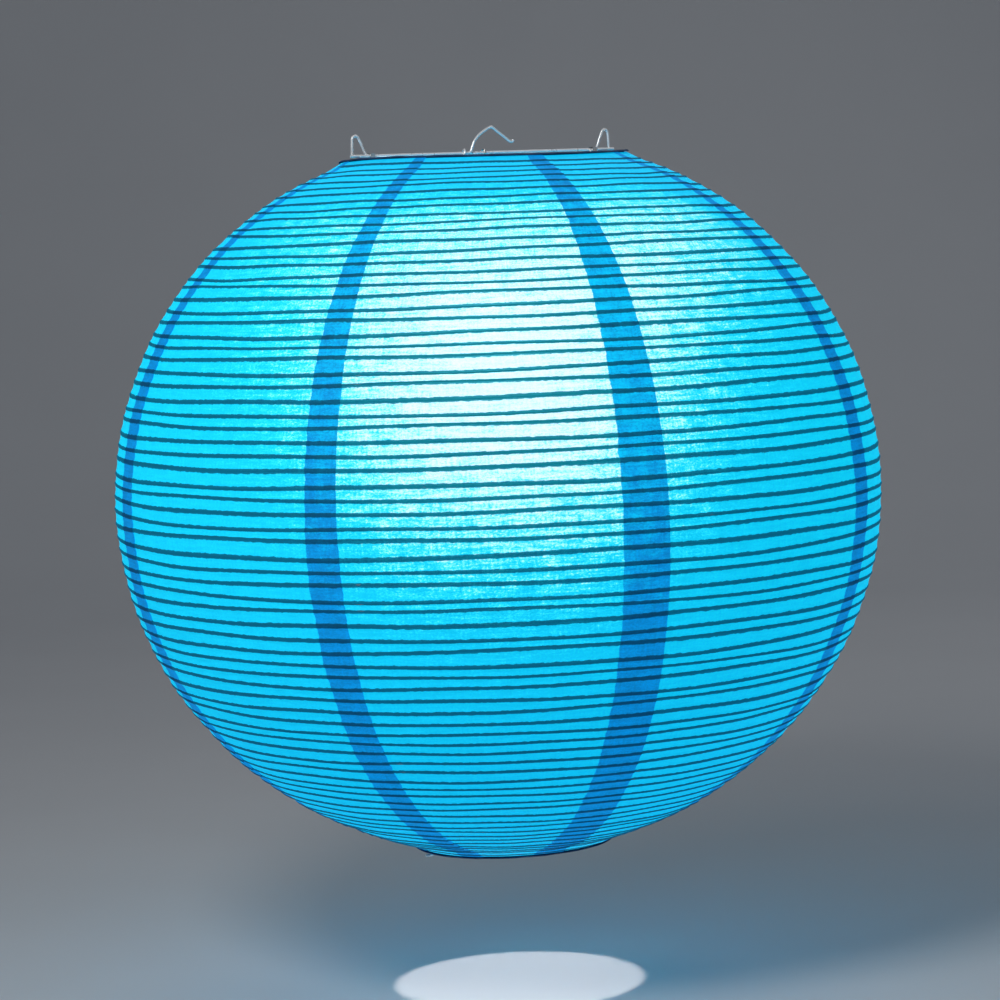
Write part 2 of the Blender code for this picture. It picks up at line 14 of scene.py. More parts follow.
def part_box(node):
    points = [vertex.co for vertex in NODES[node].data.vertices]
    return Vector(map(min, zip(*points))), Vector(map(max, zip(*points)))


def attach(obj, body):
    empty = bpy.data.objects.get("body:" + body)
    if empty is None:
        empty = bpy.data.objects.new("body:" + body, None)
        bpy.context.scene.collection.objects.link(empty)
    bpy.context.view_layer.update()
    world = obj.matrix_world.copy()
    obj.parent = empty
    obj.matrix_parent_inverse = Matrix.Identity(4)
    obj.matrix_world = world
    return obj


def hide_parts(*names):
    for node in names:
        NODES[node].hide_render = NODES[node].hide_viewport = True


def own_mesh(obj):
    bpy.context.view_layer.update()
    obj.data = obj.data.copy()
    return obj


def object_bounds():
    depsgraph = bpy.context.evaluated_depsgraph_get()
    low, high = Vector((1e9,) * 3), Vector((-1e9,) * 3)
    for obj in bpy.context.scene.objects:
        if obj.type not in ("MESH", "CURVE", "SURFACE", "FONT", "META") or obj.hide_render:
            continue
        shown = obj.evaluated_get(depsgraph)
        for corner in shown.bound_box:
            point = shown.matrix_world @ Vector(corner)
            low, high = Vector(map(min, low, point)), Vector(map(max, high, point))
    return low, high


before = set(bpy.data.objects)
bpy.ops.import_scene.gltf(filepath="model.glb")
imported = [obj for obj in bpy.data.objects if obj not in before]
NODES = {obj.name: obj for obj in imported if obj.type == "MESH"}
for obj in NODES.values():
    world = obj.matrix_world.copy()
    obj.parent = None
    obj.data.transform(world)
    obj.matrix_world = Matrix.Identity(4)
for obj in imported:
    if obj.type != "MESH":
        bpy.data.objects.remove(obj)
CAD_LOW, CAD_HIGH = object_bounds()

# the paper body, as the CAD has it
BODY_RADIUS = 0.305
BODY_HALF_HEIGHT = 0.289
TOP_SINK = 0.004
TOP_SINK_END = math.radians(50.0)
GORES = 8
FIRST_SEAM = math.radians(-159.9)
RIB_TURNS = 70
RING_WIRE = 0.0012
RIB_WIRE = 0.0006
RIB_ENDS = 0.007
PAPER_OVER_RING = 0.0019
WELD = 1e-6
SEAM_WIDTHS = (0.030, 0.026, 0.036, 0.028, 0.031, 0.036, 0.027, 0.034)


def node_box(name):
    low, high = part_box(name)
    return Vector(low), Vector(high)


def ring_of(name):
    """A ring's centre and the radius of its wire's middle line, from its node."""
    low, high = node_box(name)
    return (low + high) / 2, (high.x - low.x + high.y - low.y) / 4 - RING_WIRE


TOP_CENTRE, TOP_RADIUS = ring_of("top_ring")
BOTTOM_CENTRE, BOTTOM_RADIUS = ring_of("bottom_ring")
AXIS = Vector((TOP_CENTRE.x, TOP_CENTRE.y, 0))

# the expander, whose plane stands 30 degrees round from +X, in the CAD's own sizes
EXPANDER_TURN = math.radians(30.0)
U = Vector((math.cos(EXPANDER_TURN), math.sin(EXPANDER_TURN), 0))
V = Vector((-math.sin(EXPANDER_TURN), math.cos(EXPANDER_TURN), 0))
WIRE = 0.0011
EYE = 0.0025
HOOK_S = 0.008
PIN_S, PIN_Z = 0.0695, -0.046
THROAT_S, JAW_BEND = 0.098, 0.0016
HEM_OVER, HEM_UNDER = 0.0042, 0.0019
TOUCH = 0.0003
BAR_Z = TOP_CENTRE.z + HEM_OVER + TOUCH + WIRE
BODY_CENTRE_Z = -BODY_HALF_HEIGHT
GLOBE_LOW, GLOBE_HIGH = node_box("globe_diffuser")
GLOBE_RADIUS = (GLOBE_HIGH.x - GLOBE_LOW.x) / 2
BULB = Vector((AXIS.x, AXIS.y, GLOBE_LOW.z + GLOBE_RADIUS))

# the painted glow's white hot spot, painted light where the lamp shines most through the paper: its middle,
# half its size, and how far it is shifted and leans to the right
HEART_Z = -0.179
HEART_HALF_HEIGHT = 0.167
HEART_HALF_WIDTH = 0.182
HEART_RIGHT = 0.006
HEART_LEAN = 0.045
RING_SHADE_HEIGHT = 0.045  # the height of the band of painted shade under the top ring

# the camera, as far away as 8.4 radii, a little above the lantern's middle
CAMERA_DISTANCE = 2.563
CAMERA_ELEVATION = math.radians(4.6)
CAMERA_ROLL = math.radians(-2.53)
LENS_PIXELS = 3200.0
IMAGE_PIXELS = 1000

# the floor, which is flat up to FLOOR_BACK and then bends up into a wall, in metres
FLOOR_DROP = 0.112
FLOOR_HALF_WIDTH = 7.0
FLOOR_FRONT = -6.0
FLOOR_BACK = 2.6
FLOOR_BEND = 1.6
WALL_HEIGHT = 5.0


# ---------------------------------------------------------------- camera, floor and lights


def add_camera():
    data = bpy.data.cameras.new("camera")
    data.sensor_width = 36.0
    data.lens = data.sensor_width * LENS_PIXELS / IMAGE_PIXELS
    camera = bpy.data.objects.new("camera", data)
    middle = AXIS + Vector((0, 0, BODY_CENTRE_Z))
    back = Vector((0, -math.cos(CAMERA_ELEVATION), math.sin(CAMERA_ELEVATION)))
    camera.location = middle + CAMERA_DISTANCE * back
    turn = back.to_track_quat("Z", "Y").to_matrix() @ Matrix.Rotation(CAMERA_ROLL, 3, "Z")
    camera.matrix_world = Matrix.Translation(camera.location) @ turn.to_4x4()
    data.shift_x = 0.0016
    data.shift_y = -0.0088
    bpy.context.scene.collection.objects.link(camera)
    bpy.context.scene.camera = camera


def add_area_light(name, place, aim, size, power, colour):
    data = bpy.data.lights.new(name, "AREA")
    data.shape = "DISK"
    data.size = size
    data.energy = power
    data.color = colour
    lamp = bpy.data.objects.new(name, data)
    turn = (Vector(place) - Vector(aim)).to_track_quat("Z", "Y").to_matrix()
    lamp.matrix_world = Matrix.Translation(place) @ turn.to_4x4()
    bpy.context.scene.collection.objects.link(lamp)


def add_lamp_beam():
    """The light that the lamp sends down through the bottom opening, onto the floor."""
    data = bpy.data.lights.new("lamp_beam", "SPOT")
    data.energy = 6.0
    data.color = (1.0, 0.93, 0.90)
    data.spot_size = math.radians(34.0)
    data.spot_blend = 0.2
    data.shadow_soft_size = 0.012
    beam = bpy.data.objects.new("lamp_beam", data)
    beam.location = (BULB.x, BULB.y, GLOBE_LOW.z - 0.004)
    bpy.context.scene.collection.objects.link(beam)


def add_stage():
    """A pale floor under the hanging lantern, curving up far behind it, with a matt surface."""
    floor_z = CAD_LOW[2] - FLOOR_DROP
    profile = [(FLOOR_FRONT, 0.0), (FLOOR_BACK, 0.0)]
    profile += [
        (FLOOR_BACK + FLOOR_BEND * math.sin(a), FLOOR_BEND * (1 - math.cos(a)))
        for a in (math.pi / 2 * k / 16 for k in range(1, 17))
    ]
    profile.append((FLOOR_BACK + FLOOR_BEND, WALL_HEIGHT))
    points = [(x, y, floor_z + z) for y, z in profile for x in (-FLOOR_HALF_WIDTH, FLOOR_HALF_WIDTH)]
    faces = [(2 * n, 2 * n + 1, 2 * n + 3, 2 * n + 2) for n in range(len(profile) - 1)]
    mesh = bpy.data.meshes.new("floor")
    mesh.from_pydata(points, [], faces)
    mesh.shade_smooth()
    floor = bpy.data.objects.new("floor", mesh)
    bpy.context.scene.collection.objects.link(floor)
    mat, tree, shader = new_material("studio_floor", (0.62, 0.63, 0.65), 0.7)
    cloud = noise(tree, "Object", 3.0, 3)
    colour = blend(tree, cloud, (0.60, 0.61, 0.63), (0.65, 0.66, 0.68))
    tree.links.new(colour, shader.inputs["Base Color"])
    mesh.materials.append(mat)


def add_lights():
    world = bpy.data.worlds.new("studio")
    bpy.context.scene.world = world
    world.use_nodes = True
    background = world.node_tree.nodes["Background"]
    background.inputs["Color"].default_value = (0.75, 0.85, 1.0, 1)
    background.inputs["Strength"].default_value = 0.10
    aim = AXIS + Vector((0, 0, BODY_CENTRE_Z))
    add_area_light("key", (-2.2, -2.6, 2.4), aim, 2.2, 18.0, (1.0, 0.98, 0.95))
    add_area_light("fill", (2.8, -1.6, 1.2), aim, 2.4, 9.0, (0.9, 0.95, 1.0))
    add_area_light("rim", (0.8, 2.6, 2.6), aim, 1.8, 14.0, (0.95, 0.97, 1.0))
    add_area_light("top", (-0.5, -1.2, 0.7), (0, 0, 0), 0.5, 11.0, (1.0, 0.98, 0.95))
    add_lamp_beam()
    scene = bpy.context.scene
    scene.view_settings.view_transform = "Standard"
    scene.view_settings.look = "None"


# ---------------------------------------------------------------- material helpers


def new_material(name, colour, roughness, metallic=0.0):
    mat = bpy.data.materials.new(name)
    mat.use_nodes = True
    tree = mat.node_tree
    shader = tree.nodes["Principled BSDF"]
    shader.inputs["Base Color"].default_value = (*colour, 1)
    shader.inputs["Roughness"].default_value = roughness
    shader.inputs["Metallic"].default_value = metallic
    return mat, tree, shader


def noise(tree, coordinate, scale, detail=2, stretch=None, roughness=0.5):
    """A noise texture's value, on one of the Texture Coordinate outputs or on a named UV map."""
    if coordinate in ("Object", "Generated"):
        place = tree.nodes.new("ShaderNodeTexCoord").outputs[coordinate]
    else:
        uv = tree.nodes.new("ShaderNodeUVMap")
        uv.uv_map = coordinate
        place = uv.outputs["UV"]
    if stretch:
        mapping = tree.nodes.new("ShaderNodeMapping")
        mapping.inputs["Scale"].default_value = stretch
        tree.links.new(place, mapping.inputs["Vector"])
        place = mapping.outputs["Vector"]
    texture = tree.nodes.new("ShaderNodeTexNoise")
    texture.inputs["Scale"].default_value = scale
    texture.inputs["Detail"].default_value = detail
    texture.inputs["Roughness"].default_value = roughness
    tree.links.new(place, texture.inputs["Vector"])
    return texture.outputs["Fac"]


def attribute(tree, name):
    found = tree.nodes.new("ShaderNodeAttribute")
    found.attribute_name = name
    return found.outputs["Fac"]


def put(tree, value, socket):
    if hasattr(value, "links"):
        tree.links.new(value, socket)
    else:
        socket.default_value = value


def maths(tree, operation, *values):
    node = tree.nodes.new("ShaderNodeMath")
    node.operation = operation
    for value, socket in zip(values, node.inputs):
        put(tree, value, socket)
    return node.outputs[0]


def ramp(tree, value, low, high, first=0.0, last=1.0):
    """A smooth step from first, at low, to last, at high."""
    node = tree.nodes.new("ShaderNodeMapRange")
    node.interpolation_type = "SMOOTHSTEP"
    for name, given in (("Value", value), ("From Min", low), ("From Max", high)):
        put(tree, given, node.inputs[name])
    node.inputs["To Min"].default_value = first
    node.inputs["To Max"].default_value = last
    return node.outputs["Result"]


def colour_mix(tree, mode, factor, first, second):
    node = tree.nodes.new("ShaderNodeMix")
    node.data_type = "RGBA"
    node.blend_type = mode
    put(tree, factor, node.inputs[0])
    for value, socket in ((first, node.inputs[6]), (second, node.inputs[7])):
        put(tree, value if hasattr(value, "links") else (*value, 1), socket)
    return node.outputs[2]


def blend(tree, factor, first, second):
    return colour_mix(tree, "MIX", factor, first, second)


def add_bump(tree, shader, height, strength, distance):
    bump = tree.nodes.new("ShaderNodeBump")
    bump.inputs["Strength"].default_value = strength
    bump.inputs["Distance"].default_value = distance
    tree.links.new(height, bump.inputs["Height"])
    tree.links.new(bump.outputs["Normal"], shader.inputs["Normal"])


# ---------------------------------------------------------------- the paper's material

# colours of the paper's glow, an emission that is painted light for the lamp shining through the paper
PAINTED_GLOW_CYAN = (0.0, 0.48, 0.68)
PAINTED_GLOW_LOW_BLUE = (0.0, 0.31, 0.60)
PAINTED_GLOW_AQUA = (0.02, 0.70, 0.84)
PAINTED_SEAM_SHADE = (0.0, 0.18, 0.45)
PAINTED_SEAM_HOT = (0.0, 0.42, 0.64)
HOT_WHITE = (0.84, 0.94, 0.94)
RIB_SHADOW_AND_GLUE_TINT = (0.004, 0.19, 0.24)
RIB_HALF = 1.75  # mm, half the width of the glue line and painted rib shadow along a rib
OFF_RIB = 4.0  # mm, a distance from a rib that is well outside its glue line and painted shadow


def weigh(tree, *pairs):
    """The sum of some values, each times its share."""
    terms = [maths(tree, "MULTIPLY", value, share) for value, share in pairs]
    total = terms[0]
    for term in terms[1:]:
        total = maths(tree, "ADD", total, term)
    return total


def fibre_mottle(tree):
    """Cloudy paper with short fibres lying both ways, from about 0.3 to 0.7."""
    clouds = noise(tree, "sheet", 70.0, 3, roughness=0.6)
    specks = noise(tree, "sheet", 760.0, 4, (0.6, 1.0, 1.0), roughness=0.8)
    upright = noise(tree, "sheet", 480.0, 2, (1.0, 0.14, 1.0))
    level = noise(tree, "sheet", 420.0, 2, (0.12, 1.0, 1.0))
    return weigh(tree, (clouds, 0.14), (specks, 0.50), (upright, 0.12), (level, 0.24))


def paper_material():
    mat, tree, shader = new_material("lantern_paper", (0.01, 0.42, 0.62), 0.62)
    mottle = fibre_mottle(tree)
    fine = ramp(tree, mottle, 0.38, 0.62)
    wander = noise(tree, "sheet", 190.0, 3)
    away = weigh(tree, (attribute(tree, "rib"), 1.0), (wander, -1.6))
    line = ramp(tree, away, RIB_HALF - 1.25, RIB_HALF - 0.55, 1.0, 0.0)
    ragged = noise(tree, "sheet", 55.0, 4, roughness=0.7)
    frayed = weigh(tree, (attribute(tree, "lap"), 1.0), (maths(tree, "ADD", ragged, -0.5), 5.0))
    seam = ramp(tree, frayed, -0.1, 0.4)
    # painted light: a white hot spot, flecked by the fibres, where the lamp shines through the paper most
    near = attribute(tree, "hot_spot_paint")
    flecked = weigh(tree, (near, 1.0), (maths(tree, "ADD", mottle, -0.5), 3.4))
    painted_hot_spot = ramp(tree, flecked, 0.08, 0.72)

    # painted light: the paper's glow, dimmer towards the bottom and under the top ring, turning aqua round
    # the painted hot spot
    glow = blend(tree, attribute(tree, "level"), PAINTED_GLOW_LOW_BLUE, PAINTED_GLOW_CYAN)
    glow = blend(tree, ramp(tree, flecked, -0.25, 0.35), glow, PAINTED_GLOW_AQUA)
    glow = grain(tree, glow, fine, 0.88, 0.18)
    glow = blend(tree, painted_hot_spot, glow, grain(tree, HOT_WHITE, fine, 0.74, 0.30))
    # painted light at the seams: the doubled paper glows darker, as painted shade, and lighter near the
    # painted hot spot
    lit = ramp(tree, weigh(tree, (near, 1.0), (mottle, 1.8), (ragged, 1.8)), 1.45, 2.60)
    seam_glow = grain(tree, blend(tree, lit, PAINTED_SEAM_SHADE, PAINTED_SEAM_HOT), fine, 0.66, 0.62)
    glow = blend(tree, seam, glow, seam_glow)
    # along the rib the glow darkens, for its glue line and the rib's painted shadow
    glow = blend(tree, line, glow, colour_mix(tree, "MULTIPLY", 1.0, glow, RIB_SHADOW_AND_GLUE_TINT))

    # the dye, with fibres, darker at the seams, and darker still along the rib for its glue line and a
    # painted rib shadow
    dye_and_rib_shadow = blend(tree, fine, (0.006, 0.36, 0.55), (0.014, 0.45, 0.66))
    dye_and_rib_shadow = blend(tree, seam, dye_and_rib_shadow, (0.004, 0.17, 0.40))
    dye_and_rib_shadow = blend(tree, line, dye_and_rib_shadow, (0.002, 0.07, 0.11))
    tree.links.new(dye_and_rib_shadow, shader.inputs["Base Color"])
    # the painted glow is given out as emission
    tree.links.new(glow, shader.inputs["Emission Color"])
    shader.inputs["Emission Strength"].default_value = 1.0
    shader.inputs["Transmission Weight"].default_value = 0.2
    shader.inputs["IOR"].default_value = 1.35
    shader.inputs["Specular IOR Level"].default_value = 0.15
    tree.links.new(ramp(tree, mottle, 0.3, 0.7, 0.72, 0.86), shader.inputs["Roughness"])
    add_bump(tree, shader, mottle, 0.35, 0.0004)
    return mat


def grain(tree, colour, fine, least, spread):
    """A colour made a little lighter and darker by the paper's fibres."""
    share = maths(tree, "ADD", maths(tree, "MULTIPLY", fine, spread), least)
    return colour_mix(tree, "MULTIPLY", 1.0, colour, combine(tree, share))


def combine(tree, value):
    """A grey colour of a value."""
    node = tree.nodes.new("ShaderNodeCombineColor")
    for socket in node.inputs:
        tree.links.new(value, socket)
    return node.outputs["Color"]


# ---------------------------------------------------------------- the paper body's shape

PROFILE_SAMPLES = 900
CURVE_SAMPLES = 4000


def profile_table():
    """Distance, radius, height and outward normal down the body's profile, at an even spacing."""
    start = math.asin(TOP_RADIUS / BODY_RADIUS)
    end = math.pi - math.asin(BOTTOM_RADIUS / BODY_RADIUS)
    a = np.linspace(start, end, CURVE_SAMPLES)
    sink = TOP_SINK * np.clip((TOP_SINK_END - a) / (TOP_SINK_END - start), 0, 1) ** 2
    r, z = BODY_RADIUS * np.sin(a), BODY_CENTRE_Z + BODY_HALF_HEIGHT * np.cos(a) - sink
    along = np.concatenate([[0.0], np.cumsum(np.hypot(np.diff(r), np.diff(z)))])
    even = np.linspace(0, along[-1], PROFILE_SAMPLES)
    r, z = np.interp(even, along, r), np.interp(even, along, z)
    slope = np.stack([np.gradient(r), np.gradient(z)], axis=1)
    out = np.stack([-slope[:, 1], slope[:, 0]], axis=1)
    out /= np.linalg.norm(out, axis=1)[:, None]
    return even, r, z, out


ALONG, PROFILE_R, PROFILE_Z, PROFILE_OUT = profile_table()
LENGTH = float(ALONG[-1])
PITCH = (LENGTH - 2 * RIB_ENDS) / RIB_TURNS
WOBBLE = [  # cycles a turn, height in metres, phase
    (0.37, 0.00100, 0.4),
    (0.83, 0.00080, 2.1),
    (1.61, 0.00070, 4.4),
    (2.57, 0.00065, 1.3),
    (4.31, 0.00055, 5.2),
    (7.73, 0.00036, 3.7),
    (12.9, 0.00020, 0.9),
]
CALM_TURNS = 3.0  # the turns at each end over which the straying begins
TOP_GIVE, BOTTOM_GIVE = -0.0030, 0.0010
TOP_GIVE_REACH, BOTTOM_GIVE_REACH = 0.05, 0.03
OVER_RING_REACH = 0.009


def wobble(turn):
    """How far the hand-wound rib strays along the profile, at a count of turns."""
    strays = sum(height * np.sin(2 * np.pi * cycles * turn + phase) for cycles, height, phase in WOBBLE)
    inside = np.clip(np.minimum(turn, RIB_TURNS - turn) / CALM_TURNS, 0, 1)
    return strays * inside


def ring_lift(along, azimuth):
    """How far each ring gives way between its two holds: the top one down, the bottom one up."""
    between = np.sin(azimuth - EXPANDER_TURN) ** 2
    top = TOP_GIVE * np.exp(-along / TOP_GIVE_REACH)
    return between * (top + BOTTOM_GIVE * np.exp((along - LENGTH) / BOTTOM_GIVE_REACH))


def body_point(along, azimuth, proud):
    """Points at a distance along the profile, an azimuth, and a height proud of the body's surface."""
    along = np.clip(along, 0, LENGTH)
    r, z = np.interp(along, ALONG, PROFILE_R), np.interp(along, ALONG, PROFILE_Z)
    out_r = np.interp(along, ALONG, PROFILE_OUT[:, 0])
    out_z = np.interp(along, ALONG, PROFILE_OUT[:, 1])
    r, z = r + proud * out_r, z + proud * out_z + ring_lift(along, azimuth)
    return np.stack([AXIS.x + r * np.cos(azimuth), AXIS.y + r * np.sin(azimuth), z], axis=-1)


def over_rings(along):
    """How far the paper is lifted to pass over the two rings' wires."""
    near = np.minimum(along, LENGTH - along)
    return PAPER_OVER_RING * np.exp(-((near / OVER_RING_REACH) ** 2))


def lap_half_width(number, along):
    """Half the width of a seam's double paper, narrower towards the top."""
    t = along / LENGTH
    share = np.where(t < 0.5, 0.35 + 0.65 * np.sin(np.pi * np.clip(t, 0, 0.5)), 1 - 0.3 * (2 * t - 1) ** 2)
    return SEAM_WIDTHS[number % GORES] / 2 * share


ROW_PHASES = (0.0, 0.10, 0.24, 0.50, 0.76, 0.90)  # where a gore's rows lie between two turns of the rib
GORE_COLUMNS = 26
SAG = 0.0011  # how far the paper falls in between two turns of the rib
LAP_RISE = 0.0005  # how far a gore's right edge stands over its left edge
END_GAP = 0.0028  # the least distance from a ring to a gore's nearest full row
CRUMPLE = 0.00035
END_TAPER = 0.012  # the length at each end over which the sag and the crumples die out


def gore_rows():
    """The phases, in turns, of the rows of a gore's mesh between its two ends."""
    phases = [k + f for k in range(-2, RIB_TURNS + 2) for f in ROW_PHASES]
    return [p for p in phases if END_GAP < RIB_ENDS + PITCH * (p + 0.5 / GORES) < LENGTH - END_GAP]


def hot_spot_paint_at(points):
    """How near the white hot spot of the painted glow is, at the front and the back: about 1 at its middle,
    and less under the top ring, where shade is painted.
    """
    up = (points[..., 2] - HEART_Z) / HEART_HALF_HEIGHT
    reach = HEART_HALF_WIDTH * (1 + 0.30 * up)
    across = (points[..., 0] - AXIS.x - HEART_RIGHT - HEART_LEAN * np.clip(up, 0, 1)) / reach
    away = (np.abs(across) ** 3 + np.abs(up) ** 3) ** (1 / 3)
    facing = np.clip(np.abs(points[..., 1] - AXIS.y) / (0.4 * BODY_RADIUS), 0, 1)
    # painted shade under the top ring
    ring_shade = np.clip((points[..., 2] - TOP_CENTRE.z) / RING_SHADE_HEIGHT + 1, 0, 1)
    return np.clip(0.95 - away, -1, 1) - 2 * (1 - facing) - 0.7 * ring_shade


def painted_glow_level_at(points):
    """The painted glow's evenness: 1 level with the lamp, painted dimmer towards the bottom and close to the
    top ring.
    """
    t = (points[..., 2] - PROFILE_Z[-1]) / (PROFILE_Z[0] - PROFILE_Z[-1])
    return np.clip(0.2 + 1.3 * t, 0, 1) * np.clip(1.0 - 5.0 * (t - 0.84), 0, 1)


def build_gore(number, paper):
    """One strip of paper: its left edge lies under its neighbour, and its right edge over the next one."""
    seam = 2 * np.pi * number / GORES
    rows = gore_rows()
    share = np.linspace(0, 1, GORE_COLUMNS)
    nominal = np.array([RIB_ENDS + PITCH * (p + (number + 0.5) / GORES) for p in rows])
    nominal = np.concatenate([[0.0], nominal, [LENGTH]])
    radius = np.interp(nominal, ALONG, PROFILE_R)
    left = seam - lap_half_width(number, nominal) / radius
    right = seam + 2 * np.pi / GORES + lap_half_width(number + 1, nominal) / radius
    turn_of = left[:, None] + (right - left)[:, None] * share
    phase = np.array([0.0, *rows, 0.0])[:, None] - np.zeros(GORE_COLUMNS)
    # a row keeps to the spiral, so it runs down the profile as it goes round
    whole, part = np.floor(phase + 1e-9), phase - np.floor(phase + 1e-9)
    running = whole + turn_of / (2 * np.pi)
    stray = (1 - part) * wobble(running) + part * wobble(running + 1)
    along = RIB_ENDS + PITCH * (phase + turn_of / (2 * np.pi)) + stray
    along[0], along[-1] = 0.0, LENGTH
    from_rib = PITCH * 1000 * np.minimum(part, 1 - part)
    from_rib[0] = from_rib[-1] = OFF_RIB
    near_end = np.clip(np.minimum(along, LENGTH - along) / END_TAPER, 0, 1)
    sag = SAG * np.sin(np.pi * part) ** 0.7 * near_end
    crumple = CRUMPLE * np.sin(9.1 * turn_of + 61 * along + number) * np.sin(23 * along - 5.3 * turn_of)
    proud = over_rings(along) + LAP_RISE * share - sag + crumple * near_end
    points = body_point(along, FIRST_SEAM + turn_of, proud)
    strip = np.interp(along, ALONG, PROFILE_R)
    from_left = (turn_of - seam) * strip
    from_right = (seam + 2 * np.pi / GORES - turn_of) * strip
    lap = np.maximum(
        lap_half_width(number, along) - from_left, lap_half_width(number + 1, along) - from_right
    )
    sizes = dict(rib=from_rib, lap=lap * 1000, hot_spot_paint=hot_spot_paint_at(points), level=painted_glow_level_at(points))
    across = (turn_of - seam) * BODY_RADIUS
    mesh = grid_mesh(f"paper_gore_{number + 1}", points, sizes, (across, along))
    mesh.materials.append(paper)
    piece = bpy.data.objects.new(mesh.name, mesh)
    bpy.context.scene.collection.objects.link(piece)
    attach(piece, "hanger")
    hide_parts(f"gore_{number + 1}")
    squash_with_fold(piece)


def grid_mesh(name, points, values, uv):
    """A mesh of a grid of points, with named values and a UV map in metres."""
    rows, columns = points.shape[:2]
    index = np.arange(rows * columns).reshape(rows, columns)
    quads = np.stack([index[:-1, :-1], index[1:, :-1], index[1:, 1:], index[:-1, 1:]], axis=-1)
    mesh = bpy.data.meshes.new(name)
    mesh.from_pydata(points.reshape(-1, 3).tolist(), [], quads.reshape(-1, 4).tolist())
    for key, value in values.items():
        layer = mesh.attributes.new(key, "FLOAT", "POINT")
        layer.data.foreach_set("value", np.ascontiguousarray(value, np.float32).ravel())
    layer = mesh.uv_layers.new(name="sheet")
    corner = np.empty(len(mesh.loops), np.int32)
    mesh.loops.foreach_get("vertex_index", corner)
    flat = np.stack([uv[0].ravel(), uv[1].ravel()], axis=-1)[corner]
    layer.data.foreach_set("uv", np.ascontiguousarray(flat, np.float32).ravel())
    mesh.shade_smooth()
    return mesh


def squash_with_fold(piece):
    """Gives the piece a mesh of its own."""
    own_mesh(piece)


def wire_mesh(name, route, radius, sides=10, closed=False):
    """A wire of round section along a route, whose section is carried along without twisting."""
    route = np.asarray([tuple(p) for p in route], float)
    count = len(route)
    if closed:
        along = np.roll(route, -1, axis=0) - np.roll(route, 1, axis=0)
    else:
        along = np.gradient(route, axis=0)
    along /= np.linalg.norm(along, axis=1)[:, None]
    side = np.cross(along[0], (0.0, 0.0, 1.0) if abs(along[0][2]) < 0.9 else (1.0, 0.0, 0.0))
    turns = np.exp(2j * np.pi * np.arange(sides) / sides)
    points = np.empty((count, sides, 3))
    for k in range(count):
        side = side - side.dot(along[k]) * along[k]
        side /= np.linalg.norm(side)
        up = np.cross(along[k], side)
        points[k] = route[k] + radius * (turns.real[:, None] * side + turns.imag[:, None] * up)
    faces = []
    for k in range(count if closed else count - 1):
        here, there = k * sides, (k + 1) % count * sides
        for n in range(sides):
            m = (n + 1) % sides
            faces.append((here + n, here + m, there + m, there + n))
    if not closed:
        faces.append(tuple(range(sides))[::-1])
        faces.append(tuple((count - 1) * sides + n for n in range(sides)))
    mesh = bpy.data.meshes.new(name)
    mesh.from_pydata(points.reshape(-1, 3).tolist(), [], faces)
    mesh.shade_smooth()
    mesh.set_sharp_from_angle(angle=math.radians(60))
    return mesh


def eased(points, rounds=3):
    """A route with its corners cut, as a wire bends."""
    points = [np.array(p, float) for p in points]
    for _ in range(rounds):
        cut = [points[0]]
        for before, after in zip(points, points[1:]):
            cut += [0.75 * before + 0.25 * after, 0.25 * before + 0.75 * after]
        points = [*cut, points[-1]]
    return points


def loop_mesh(name, points):
    """A closed mesh of rows of points, each row a ring and the last one joined to the first."""
    rows, columns = points.shape[:2]
    faces = []
    for row in range(rows):
        upper, lower = row * columns, (row + 1) % rows * columns
        for n in range(columns):
            m = (n + 1) % columns
            faces.append((upper + n, lower + n, lower + m, upper + m))
    mesh = bpy.data.meshes.new(name)
    mesh.from_pydata(points.reshape(-1, 3).tolist(), [], faces)
    work = bmesh.new()
    work.from_mesh(mesh)
    bmesh.ops.remove_doubles(work, verts=work.verts, dist=WELD)
    bmesh.ops.recalc_face_normals(work, faces=work.faces)
    work.to_mesh(mesh)
    work.free()
    mesh.shade_smooth()
    mesh.set_sharp_from_angle(angle=math.radians(40))
    return mesh


def add_piece(name, mesh, material, body, replaced):
    mesh.materials.append(material)
    piece = bpy.data.objects.new(name, mesh)
    bpy.context.scene.collection.objects.link(piece)
    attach(piece, body)
    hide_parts(*replaced)
    return piece


STEPS_A_TURN = 72


def build_spiral(material):
    turn = np.linspace(0, RIB_TURNS, RIB_TURNS * STEPS_A_TURN + 1)
    along = RIB_ENDS + PITCH * turn + wobble(turn)
    route = body_point(along, FIRST_SEAM + 2 * np.pi * turn, over_rings(along) - RIB_WIRE - 0.0002)
    mesh = wire_mesh("spiral_rib_wire", route, RIB_WIRE, sides=5)
    piece = add_piece("spiral_rib_wire", mesh, material, "hanger", ["spiral_rib"])
    squash_with_fold(piece)


# ---------------------------------------------------------------- rings and hems


RING_SEGMENTS = 180
HEM_SEGMENTS = 240
HEM_PAPER = 0.0003


def build_ring(name, along, radius, material, body):
    azimuth = 2 * np.pi * np.arange(RING_SEGMENTS) / RING_SEGMENTS
    centre = TOP_CENTRE if along == 0 else BOTTOM_CENTRE
    lift = ring_lift(along, azimuth)
    route = [
        (AXIS.x + radius * math.cos(a), AXIS.y + radius * math.sin(a), centre.z + rise)
        for a, rise in zip(azimuth, lift)
    ]
    mesh = wire_mesh(f"{name}_wire", route, RING_WIRE, sides=10, closed=True)
    add_piece(mesh.name, mesh, material, body, [name])


